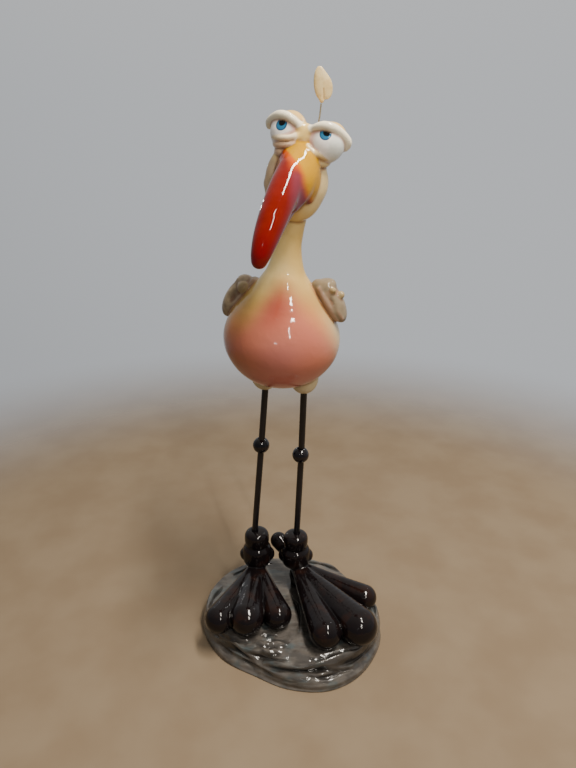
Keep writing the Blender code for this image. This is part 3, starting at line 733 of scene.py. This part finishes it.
SECOND_BAG = ((8, -19.6, -1.8, 2.6), (14, -18, -3.6, 3.2), (18, -12.5, -4, 3.2), (19, -6, -2.5, 2.8))
BRIDGE = ((-1, -15.6, 9.6), (8, 7.2, 9.4))
GAPE = ((4.5, -17.5, 2, 4.6), (10, -18, -7.5, 6), (13.2, -17.5, -19, 6), (12.8, -18, -29.5, 4.7))
GAPE_FILL = ((5, -23, -6, 6.5), (8.5, -26.5, -17, 7.4), (8.8, -28.5, -27, 6.4), (6.5, -33, -36, 5))
LEFT_SHARE_OF_GAPE = -0.7
LEFT_CHEEK = ((-14, -12, -5, 6), (-17.4, -10.5, -16, 6.8), (-18.4, -8.5, -27, 6.2), (-14.5, -8, -37, 7))
UPPER_BEAK = ((0, -14, -6, 10.6), (0, -24, -12, 11.6), (0, -36, -22, 11.6),
    (0, -47, -34, 11.1), (0, -55.5, -46, 10.4), (0, -62, -58, 9.2),
    (0, -66, -68, 7.4), (0, -67, -73.5, 5.8))
LOWER_BEAK = ((0, -10, -28, 12.5), (0, -22, -33, 10.6), (0, -36, -42, 8.6),
    (0, -48, -55, 7.2), (0, -56, -67, 4.8))

# Forms of the folded wings, in the body's frame: blades and carved hollows as centre, radii and
# tilt; limbs as rows of x, y, z and radius; knuckles as centre and radius
WINGS = {
    "left": dict(
        blades=(((-43.4, 2, 33.5), (9.6, 11, 20), 33), ((-35, 1.5, 45), (9.6, 9.5, 8), 33)),
        limbs=(((-27, -1, 47, 5.6), (-35.5, -1.6, 35.5, 6.2), (-44, -1.2, 24.5, 5)),
            ((-26.6, -5.4, 49.6, 2.2), (-32.4, -8.4, 42.5, 1.6), (-39.6, -8.4, 32, 1.5),
                (-46.6, -6.4, 25, 1.3))),
        knuckles=(((-34.6, -7, 44), 5.4),),
        hollow=((-44, -9.4, 36), (3.6, 2.6, 6), 33)),
    "right": dict(
        blades=(((39.8, 3, 35), (8.8, 11.5, 20), -30), ((33, 2, 46), (9.5, 9.5, 7), -30)),
        limbs=(((27, -1, 48, 5.2), (33.5, -1, 37, 6), (42, -1, 24.5, 4.6)),
            ((30, -6.4, 45.8, 2.2), (35, -7, 38, 2.7), (41, -6.2, 29, 2.6), (46.4, -3.8, 20.8, 1.8)),
            ((43.5, -5.6, 33, 1.6), (47, -5, 27.5, 1.8), (50.6, -2.8, 21.6, 1.4))),
        knuckles=(((40.8, -5.2, 45.2), 2.7), ((46.6, 0.2, 40.8), 3.3)),
        hollow=((41.4, -10.2, 35), (1.7, 3.4, 9), -30)),
}
# The mouth corner's bump on the left cheek
CHEEK_BUMP = ((-20.4, -8, -28), 4.6)


def turn_about(axis, angle):
    return np.array(Matrix.Rotation(angle, 3, axis))


HEAD_TURN = turn_about("Z", BODY_TURN) @ turn_about("Y", HEAD_ROLL)
BODY_AXES = np.column_stack([*turn_about("Z", BODY_TURN).T[:2], BODY_LEAN])


def in_head(x, y, z):
    """A place of the scene from millimetres in the head's frame."""
    return (HEAD_MIDDLE + HEAD_TURN @ np.array([x, y, z])) * MM


def in_body(x, y, z):
    """A place of the scene from millimetres in the body's frame, z up the leaning axis."""
    return (BODY_MIDDLE + BODY_AXES @ np.array([x, y, z])) * MM


def placed_limb(place, rows, side=1):
    return limb([(*place(side * x, y, z), radius * MM) for x, y, z, radius in rows], 6)


def head_limb(rows, side=1):
    return placed_limb(in_head, rows, side)


def head_egg(centre, radii):
    return egg(in_head(*centre), np.broadcast_to(radii, 3) * MM, HEAD_TURN)


def wing_egg(centre, radii, tilt=0):
    turn = turn_about("Z", BODY_TURN) @ turn_about("Y", math.radians(tilt))
    return egg(in_body(*centre), np.broadcast_to(radii, 3) * MM, turn)


def blended(lumps, soft):
    """Several lumps run together as one."""
    def measure(places):
        total = lumps[0][0](places)
        for lump in lumps[1:]:
            total = joined(total, lump[0](places), soft)
        return total
    lows, highs = zip(*[(low, high) for _, low, high in lumps])
    return measure, np.min(lows, axis=0) - soft / 4, np.max(highs, axis=0) + soft / 4


def nearest_of(lumps, places):
    return np.min([lump[0](places) for lump in lumps], axis=0)


def least(*fields):
    return np.minimum.reduce(fields)


def thigh(side):
    """A stub thigh that swells up into the belly from the rod's socket."""
    x, y, z = LEG_POINTS[side][-1]
    rows = ((0.68, 0.52), (0.8, 0.78), (1.1, 0.98), (1.6, 1.02), (3.2, 1.1))
    return limb([(x * MM, y * MM, (z + rise * THIGH_RADIUS) * MM, width * THIGH_RADIUS * MM)
        for rise, width in rows])


SKULL = blended([head_egg((0, -1, 3), (22, 18.5, 15.5)),
    head_egg((1.8, -7.5, -22), (22, 16.5, 22.5)),
    head_egg((0.5, -6, -35), (19, 14.5, 16)), head_limb(LEFT_CHEEK)], 5 * MM)
DOMES = [head_egg((-15.6, -0.5, 12.8), 12.3), head_egg((16, -0.5, 12), 12.3)]
EYES = [head_egg(centre, radius) for centre, radius in EYEBALLS]
UPPER_LIDS = [head_limb(UPPER_LID, side) for side in (-1, 1)]
UPPER_LIDS.append(head_limb(RIGHT_LID_FLAP))
LOWER_LID_ROLL = head_limb(LOWER_LID)
BAGS = [head_limb(rows, side) for side in (-1, 1) for rows in (FIRST_BAG, SECOND_BAG)]
NOSE_BRIDGE = head_egg(*BRIDGE)
BILL = blended([*(head_limb(rows) for rows in (UPPER_BEAK, GAPE, GAPE_FILL)),
    head_limb(GAPE, LEFT_SHARE_OF_GAPE)], 8 * MM)
MANDIBLE = head_limb(LOWER_BEAK)
TORSO = turned(np.array(TORSO_PROFILE) * MM, BODY_MIDDLE * MM, BODY_LEAN, np.array(NECK_BOW) * MM)
THIGHS = [thigh(side) for side in LEG_POINTS]


def wing_lumps(wing):
    lumps = [(wing_egg(*blade), 2) for blade in wing["blades"]]
    lumps += [(placed_limb(in_body, rows), 1.8) for rows in wing["limbs"]]
    return lumps + [(wing_egg(*knuckle), 1.2) for knuckle in wing["knuckles"]]


def bird_clay():
    clay = Clay("bird", BIRD_GRAIN)
    clay.add(TORSO, 1)
    for lump in THIGHS:
        clay.add(lump, 1.6)
    clay.add(SKULL, 1.4)
    for lump in (*DOMES, head_egg(*CHEEK_BUMP)):
        clay.add(lump, 2.5)
    for lump in (*EYES, *BAGS):
        clay.add(lump, 1)
    for lump in (LOWER_LID_ROLL, *UPPER_LIDS):
        clay.add(lump, 0.8)
    clay.add(NOSE_BRIDGE, 5)
    clay.add(MANDIBLE, 1.2)
    clay.add(BILL, 0.9)
    for wing in WINGS.values():
        for lump, soft in wing_lumps(wing)[:len(wing["blades"])]:
            clay.add(lump, soft)
        clay.carve(wing_egg(*wing["hollow"]), 2.5)
        for lump, soft in wing_lumps(wing)[len(wing["blades"]):]:
            clay.add(lump, soft)
    for points in LEG_POINTS.values():
        _, knee, hip = (Vector(point) * MM for point in points)
        rise = (hip - knee).normalized()
        ends = (hip - rise * 4 * MM, hip + rise * SOCKET_DEPTH)
        clay.carve(limb([(*end, HOLE_RADIUS) for end in ends]), 0.7)
    return clay


def between(values, low, high):
    """0 below low, 1 above high, smooth between."""
    share = np.clip((values - low) / (high - low), 0, 1)
    return share * share * (3 - 2 * share)


# Height and x of the line on the beak's right flank where the gold meets the red
GOLD_EDGE = ((-36, 17), (-30, 15.2), (-22, 12.4), (-14, 9.4), (-8, 5), (-3, -5), (1, -17))


def head_masks(places):
    """Where the colours of the face, the eyes and the beak lie, and where shade is painted on them. Gaps
    are in millimetres.
    """
    x, y, z = ((places / MM - HEAD_MIDDLE) @ HEAD_TURN).T
    away = abs(x)
    groups = ([SKULL, NOSE_BRIDGE, TORSO], DOMES, EYES, UPPER_LIDS, [LOWER_LID_ROLL], BAGS, [BILL],
        [MANDIBLE])
    gaps = [nearest_of(lumps, places) / MM for lumps in groups]
    skull, domes, eyes, upper, lower, bags, bill, mandible = gaps
    folds = least(upper, lower, bags)
    face = least(skull, domes, folds, eyes)
    lid_height = np.interp(away, *zip(*[(row[0], row[2]) for row in UPPER_LID]))
    open_eye = (y < -6) * (z < lid_height) * (z > -6)
    flank = x - np.interp(z, *zip(*GOLD_EDGE))
    low_flank = between(-z, 8, 16)
    path = smooth_curve([(row[1], row[2]) for row in UPPER_BEAK], 8)
    nearest = ((np.column_stack([y, z])[:, None] - path[None]) ** 2).sum(axis=2).argmin(axis=1)
    along = nearest / (len(path) - 1)
    return {
        "bill": between(face - bill, -0.3, 0.4),
        "mandible": between(least(face, bill) - mandible, -0.2, 0.4),
        "eye": between(least(skull, folds, bill) - eyes, -0.3, 0.4) * open_eye,
        "eye_pink": between(11 - away, 0, 5),
        # The right eye's outer side greyed and cooled: painted shade.
        "right_eye_outer_shade": between(x, 16, 24),
        "upper_lid": between(least(skull, eyes, domes) - upper, -0.8, 0.4),
        "lower_lid": between(least(skull, eyes, bags) - lower, -0.5, 0.5),
        "bag": between(least(skull, eyes, lower) - bags, -0.5, 0.5) * (x < 0),
        "brow": between(least(skull, eyes, upper) - domes, -1.5, 1),
        "gold": between(flank, -1.5, 4),
        "orange": between(flank, -11, -1) * (1 - low_flank) + between(flank, -2.5, 1) * low_flank,
        # Purple-red low on the beak's flank: partly the glaze's colour, partly painted shade in the flank's
        # valley.
        "plum_and_flank_shade": between(flank, -9, -3) * between(3 - flank, 0, 5) * low_flank
        * between(0.62 - along, 0, 0.2),
        "crimson": between(along, 0.55, 0.95),
        "bridge": between(8 - away, 0, 5) * between(-y, 10, 16) * between(z, 2, 6),
        # The left cheek painted darker and greyer: painted shade.
        "left_cheek_shade": between(-x, 8, 15) * between(-z, 6, 14) * between(z, -46, -36),
        "head": between(z, -44, -30) * between(TORSO[0](places) / MM - skull, -1, 2),
    }


def spot(azimuth, up, centre, spread):
    """A soft spot about an azimuth in degrees and a height in millimetres."""
    return np.exp(-((azimuth - centre[0]) / spread[0]) ** 2 - ((up - centre[1]) / spread[1]) ** 2)


# Height in millimetres and half the width in degrees of the coral bib
CORAL_HALF_WIDTH = ((-42, 150), (-30, 118), (-12, 84), (5, 66), (20, 46), (34, 31), (46, 21), (58, 15))


def body_masks(places):
    """Where the colours of the body, the thighs and the wings lie, and where light, shade and a reflection
    are painted on them.
    """
    x, y, up = (np.linalg.inv(BODY_AXES) @ (places / MM - BODY_MIDDLE).T)
    azimuth = np.degrees(np.arctan2(x, -y))
    half = np.interp(up, *zip(*CORAL_HALF_WIDTH))
    torso_gap = TORSO[0](places) / MM
    lumps = [lump for wing in WINGS.values() for lump, _ in wing_lumps(wing)]
    wing = between(torso_gap - nearest_of(lumps, places) / MM, -0.3, 0.6)
    edges = [placed_limb(in_body, rows) for form in WINGS.values() for rows in form["limbs"][1:]]
    knuckles = [wing_egg(*knuckle) for form in WINGS.values() for knuckle in form["knuckles"]]
    return {
        "chest": between(66 - up, 0, 34),
        "coral": between(half - abs(azimuth - 13), -20, 24) * between(65 - up, 0, 30),
        "deep_coral": spot(azimuth, up, (3, 34), (20, 18)),
        "mauve": spot(azimuth, up, (14, -2), (26, 20)),
        "peach": spot(azimuth, up, (48, 16), (30, 24))
        + spot(azimuth, up, (-46, 14), (22, 18)),
        # Brown-orange on the lower left: partly the glaze's colour, partly painted shade on the side away
        # from the light.
        "umber_and_shade": spot(azimuth, up, (-58, -14), (34, 24)),
        # Lighter towards the underside: painted light that stands in for bounce light.
        "underside_painted_light": between(-6 - up, 0, 26),
        # A grey patch on the right rim: painted reflection of the pale room behind.
        "painted_rim_reflection": spot(azimuth, up, (98, 18), (26, 22)),
        "olive": spot(azimuth, up, (-78, 24), (30, 20))
        + 0.6 * spot(azimuth, up, (60, 38), (26, 16)),
        "ochre": between(up, 36, 62) * (1 - between(up, 90, 108)) * between(azimuth, -20, 60),
        "thigh": between(torso_gap - nearest_of(THIGHS, places) / MM, -0.3, 0.5) * (up < 0),
        "wing": wing,
        # The right wing painted darker than the left: painted shade.
        "right_wing_shade": wing * (x > 0),
        "wing_edge": between(-nearest_of(edges, places) / MM, -0.5, 0),
        "knuckle": between(-nearest_of(knuckles, places) / MM, -0.5, 0),
    }


IRISES = (in_head(-17.2, -23.2, 14.3), in_head(15.8, -23.4, 15.4))
PUPILS = (in_head(-17, -22.6, 15.8), in_head(16.4, -22.8, 16.4))
IRIS_RADIUS = 4.5 * MM
PUPIL_RADIUS = 2.7 * MM


def disc(material, centre, radius, soft):
    """A mask of 1 within a radius of a point and 0 beyond it."""
    place = add_node(material, "TexCoord", {}, {}, "Object")
    away = add_node(material, "VectorMath", {"operation": "DISTANCE"},
        {0: place, 1: tuple(centre)}, "Value")
    return add_node(material, "MapRange", SMOOTH,
        {"Value": away, "From Min": radius + soft, "From Max": radius - soft})


# Underglaze colours airbrushed on pale clay under clear gloss: soft-edged zones, some of them
# painted light, shade and reflection, crisp painted eyes, and a warmer, darker tone in the creases:
# painted shade there, and where the glaze pooled.
constants = {"Roughness": 0.06, "IOR": 1.45, "Specular IOR Level": 0.42}
material = new_material("airbrushed_clear_glaze", constants)
cloud = clouds(material, 22, 0.35, 0.65)
fine = clouds(material, 7, 0.38, 0.66)
skin = painted(material, "ead08e", (
    (cloud, 1, "e0c37e"), ("chest", 1, "b8964a"), ("ochre", 0.7, "c4993c"),
    ("olive", 0.75, "9c7f44"), ("peach", 0.9, "b4703a"), ("coral", 0.9, "a65c4c"),
    # The lighter underside coat is painted light that stands in for bounce light.
    ("deep_coral", 0.85, "8c4032"), ("mauve", 0.6, "985c58"), ("underside_painted_light", 0.85, "b87264"),
    # The grey rim coat on the right is a painted reflection.
    # The umber coat is partly glaze colour, partly painted shade on the lower left.
    ("umber_and_shade", 0.8, "94593a"), ("painted_rim_reflection", 0.75, "aea68c"), ("thigh", 1, "c0ae88"),
    # The left cheek's coat is painted shade.
    ("head", 0.7, "d9c08e"), ("left_cheek_shade", 0.8, "bca286"), ("bridge", 0.9, "e2bf6e"),
    ("brow", 0.85, "cfa860"), ("bag", 0.85, "e2bc9a"), ("lower_lid", 1, "f2dfba"),
    ("upper_lid", 1, "f2e8cc")))
feather = painted(material, "98876c", (
    # The right wing's darker coat is painted shade.
    (fine, 1, "83715a"), ("right_wing_shade", 0.7, "6e614c"), ("wing_edge", 0.4, "a07864"),
    # The hollow coat on the wings: painted shade in the creases, and pooled glaze.
    ("knuckle", 0.5, "a89060"), ("hollow", 0.8, "7c5c46")))
# Darker and warmer in the creases: painted shade there, and where the glaze pooled.
skin = painted(material, skin, (("hollow", 0.65, "8c5636"), ("wing", 1, feather)))
# The cool grey coat on the right eye's outer side is painted shade.
eye = painted(material, "f8f3ec", (("eye_pink", 0.8, "dca890"), ("right_eye_outer_shade", 0.6, "ccd4c8"),
    # The hollow coat in the eyes: painted shade in the creases, and pooled glaze.
    ("hollow", 0.7, "c08a74")))
for iris, pupil in zip(IRISES, PUPILS):
    eye = painted(material, eye, ((disc(material, iris, IRIS_RADIUS, 0.2 * MM), 1, "1c4c70"),
        (disc(material, iris, IRIS_RADIUS * 0.82, 0.45 * MM), 1, "2e6e94"),
        (disc(material, pupil, PUPIL_RADIUS, 0.2 * MM), 1, "060708")))
bill = painted(material, "6c0e05", (
    (fine, 0.35, "781a07"), ("orange", 1, "b94c08"), ("gold", 1, "ba880a"),
    # The plum coat is partly glaze colour, partly painted shade in the flank's valley.
    ("plum_and_flank_shade", 0.8, "74303c"), ("crimson", 0.9, "780308")))
skin = painted(material, skin, (("eye", 1, eye), ("mandible", 1, "b58780"), ("bill", 1, bill)))
dress(material, skin, cloud, 0.25)

places, quads = bird_clay().skin()
places = relaxed(places, quads, 2, 0.4)
zones = head_masks(places) | body_masks(places)
zones["hollow"] = crease_shade_and_pooling(places, quads)
bird = mesh_piece("bird_glazed", places, quads, material, zones)
stand_for(bird, "bird")

# The crest wire
# A stub of bare steel wire set in a socket of the crown, dull, and dark with scale at its foot.
# It carries the leaf.

WIRE_RADIUS = 0.6 * MM
WIRE_FOOT = Vector(in_head(3.1, 4, 18.9))
WIRE_RISE = Vector((0.15, 0, 1)).normalized()
WIRE_LENGTH = 15 * MM
WIRE_SOCKET = 6 * MM
WIRE_BOW = 0.35 * MM


# Bare wire: dull grey-gold, dark with scale at its foot.
material = new_material("fired_iron_wire", {"Roughness": 0.45, "Metallic": 0.6})
scale = clouds(material, 1.5, 0.4, 0.65)
foot = disc(material, WIRE_FOOT, 1.6 * MM, 0.8 * MM)
colour = painted(material, "a39a80", ((scale, 0.8, "7d7462"), (foot, 0.95, "1c1822")))
dress(material, colour, scale, 0.04)

wire_line = [WIRE_FOOT - WIRE_RISE * (WIRE_SOCKET - FOOT_GAP),
    WIRE_FOOT + WIRE_RISE * 7 * MM + Vector((WIRE_BOW, 0, 0)), WIRE_FOOT + WIRE_RISE * WIRE_LENGTH]
wire = rod_piece("crest_wire_fired", wire_line, WIRE_RADIUS, 6 * MM, material, rods)
stand_for(wire, "crest_wire")

# The crest leaf
# A thumbnail of clay folded once like a leaf and fixed on the wire's end, with a satin glaze that
# goes tan along the fold: painted shade there, and where the glaze lies thick.

LEAF_GRAIN = 0.32 * MM
LEAF_HEIGHT, LEAF_WIDTH, LEAF_THICKNESS = 24.2 * MM, 13.5 * MM, 3 * MM


def leaf_clay():
    """Two overlapping halves of a leaf, the fold pressed between them, on a short stem."""
    clay = Clay("crest_leaf", LEAF_GRAIN)
    stem = np.array(WIRE_FOOT + WIRE_RISE * (WIRE_LENGTH + FOOT_GAP))

    def at(x, z, y=0):
        return stem + np.array((x * LEAF_WIDTH, y, z * LEAF_HEIGHT))

    half = LEAF_THICKNESS / 2
    near, far = (turn_about("Y", math.radians(angle)) for angle in (-4, -14))
    halves = blended([egg(at(-0.07, 0.54), (LEAF_WIDTH * 0.36, half, LEAF_HEIGHT * 0.46), near),
        egg(at(0.17, 0.46), (LEAF_WIDTH * 0.42, half * 0.8, LEAF_HEIGHT * 0.37), far)], 2 * MM)
    clay.add(halves, 0.5)
    clay.add(egg(at(0.02, 0.09), (LEAF_WIDTH * 0.13, half * 0.9, LEAF_HEIGHT * 0.09)), 1)
    fold = [(*at(0.09, 0.38, -half * 1.25), 0.25 * MM), (*at(0.12, 0.24, -half * 1.15), 0.4 * MM),
        (*at(0.13, 0.11, -half * 0.95), 0.5 * MM)]
    clay.carve(limb(fold), 1)
    return clay


# Thin satin cream glaze on buff clay, tan in the fold: painted shade there, and where the glaze lies thick.
material = new_material("satin_cream_glaze", {"Roughness": 0.38, "IOR": 1.45})
cloud = clouds(material, 5, 0.35, 0.65)
colour = painted(material, "dcc48e", ((cloud, 1, "d0b47a"), ("hollow", 0.8, "a9834e")))
dress(material, colour, cloud, 0.1)

places, quads = leaf_clay().skin()
places = relaxed(places, quads, 2)
leaf = mesh_piece("crest_leaf_glazed", places, quads, material,
    {"hollow": crease_shade_and_pooling(places, quads, 20, 0.12 * MM)})
stand_for(leaf, "crest_leaf")

# The studio
# A plain pale floor that fades into the pale room, two strip lamps that draw the tall highlights
# on beak and belly, three small lamps for the sparks, and the photograph's camera.

FLOOR_RADIUS = 1.2
FLOOR_FADE = (0.42, 0.95)
WARM_WHITE = "fff6ea"
# Each small lamp: direction from the statue, distance, size and power
SPARKS = (((-0.5, 0.85, 0.3), 1.3, 0.035, 0.35), ((0.59, 0.53, 0.61), 1.3, 0.04, 0.45),
    ((-0.14, -0.94, 0.31), 1.3, 0.035, 0.35))
STATUE_MIDDLE = Vector((0, 0, 0.22))
IMAGE_HEIGHT = 768
FOCAL_PIXELS = 577
CAMERA_PLACE = (-0.0033, -0.4535, 0.437)
CAMERA_PITCH = 21.2


# Matt pale clay-coloured floor, see-through far out so that it ends in the room's own light.
material = new_material("matt_pale_floor", {"Roughness": 0.8, "Specular IOR Level": 0.2})
mottle = clouds(material, 70, 0.3, 0.7)
dress(material, painted(material, "716350", ((mottle, 1, "6a5b48"),)), mottle, 0.2)
near = disc(material, (0, 0, 0), sum(FLOOR_FADE) / 2, (FLOOR_FADE[1] - FLOOR_FADE[0]) / 2)
tree = material.node_tree
clear = add_node(material, "BsdfTransparent", {}, {})
mixed = add_node(material, "MixShader", {},
    {0: near, 1: clear, 2: tree.nodes["Principled BSDF"].outputs[0]})
tree.links.new(mixed, tree.nodes["Material Output"].inputs["Surface"])
shape = bmesh.new()
bmesh.ops.create_circle(shape, cap_ends=True, segments=96, radius=FLOOR_RADIUS)
mesh = bpy.data.meshes.new("floor")
shape.to_mesh(mesh)
shape.free()
mesh.materials.append(material)
floor = in_scene("floor", mesh)


def studio_lamp(name, place, turn, size, power, colour=WARM_WHITE):
    lamp = bpy.data.lights.new(name, "AREA")
    lamp.shape = "RECTANGLE"
    lamp.size, lamp.size_y = size
    lamp.energy = power
    lamp.color = linear(colour)[:3]
    item = in_scene(name, lamp)
    item.location = place
    item.rotation_euler = turn


# Soft light from all round: brightest behind the bird and to its right, dim in front.
world = bpy.data.worlds.new("pale_room")
world.use_nodes = True
bpy.context.scene.world = world
way = add_node(world, "TexCoord", {}, {}, "Generated")
rise = add_node(world, "SeparateXYZ", {}, {0: way}, "Z")
high = add_node(world, "MapRange", SMOOTH, {"Value": rise, "From Min": 0.05, "From Max": 0.95})
colour = add_node(world, "Mix", {"data_type": "RGBA"}, {0: high, 6: "d3d6da", 7: "fffaf2"}, 2)
toward = add_node(world, "VectorMath", {"operation": "DOT_PRODUCT"},
    {0: way, 1: (0.4, 0.82, 0.41)}, "Value")
strength = add_node(world, "MapRange", SMOOTH,
    {"Value": toward, "From Min": -0.6, "From Max": 1, "To Min": 0.3, "To Max": 0.85})
background = world.node_tree.nodes["Background"]
world.node_tree.links.new(colour, background.inputs["Color"])
world.node_tree.links.new(strength, background.inputs["Strength"])

studio_lamp("overhead_strip", (0.49, -0.43, 1.75), (0, 0, math.radians(14.5)), (0.16, 0.95), 64)
studio_lamp("front_strip", (0.49, -1.38, 1.32), (math.radians(56), 0, math.radians(20)), (0.05, 0.6), 15)
for number, (way, distance, size, power) in enumerate(SPARKS):
    toward = Vector(way).normalized()
    turn = toward.to_track_quat("Z", "Y").to_euler()
    studio_lamp(f"spark_{number}", STATUE_MIDDLE + toward * distance, turn, (size, size), power, "ffffff")

camera = in_scene("camera", bpy.data.cameras.new("camera"))
camera.location = CAMERA_PLACE
camera.rotation_euler = (math.radians(90 - CAMERA_PITCH), 0, 0)
camera.data.lens = FOCAL_PIXELS / IMAGE_HEIGHT * camera.data.sensor_width
bpy.context.scene.camera = camera
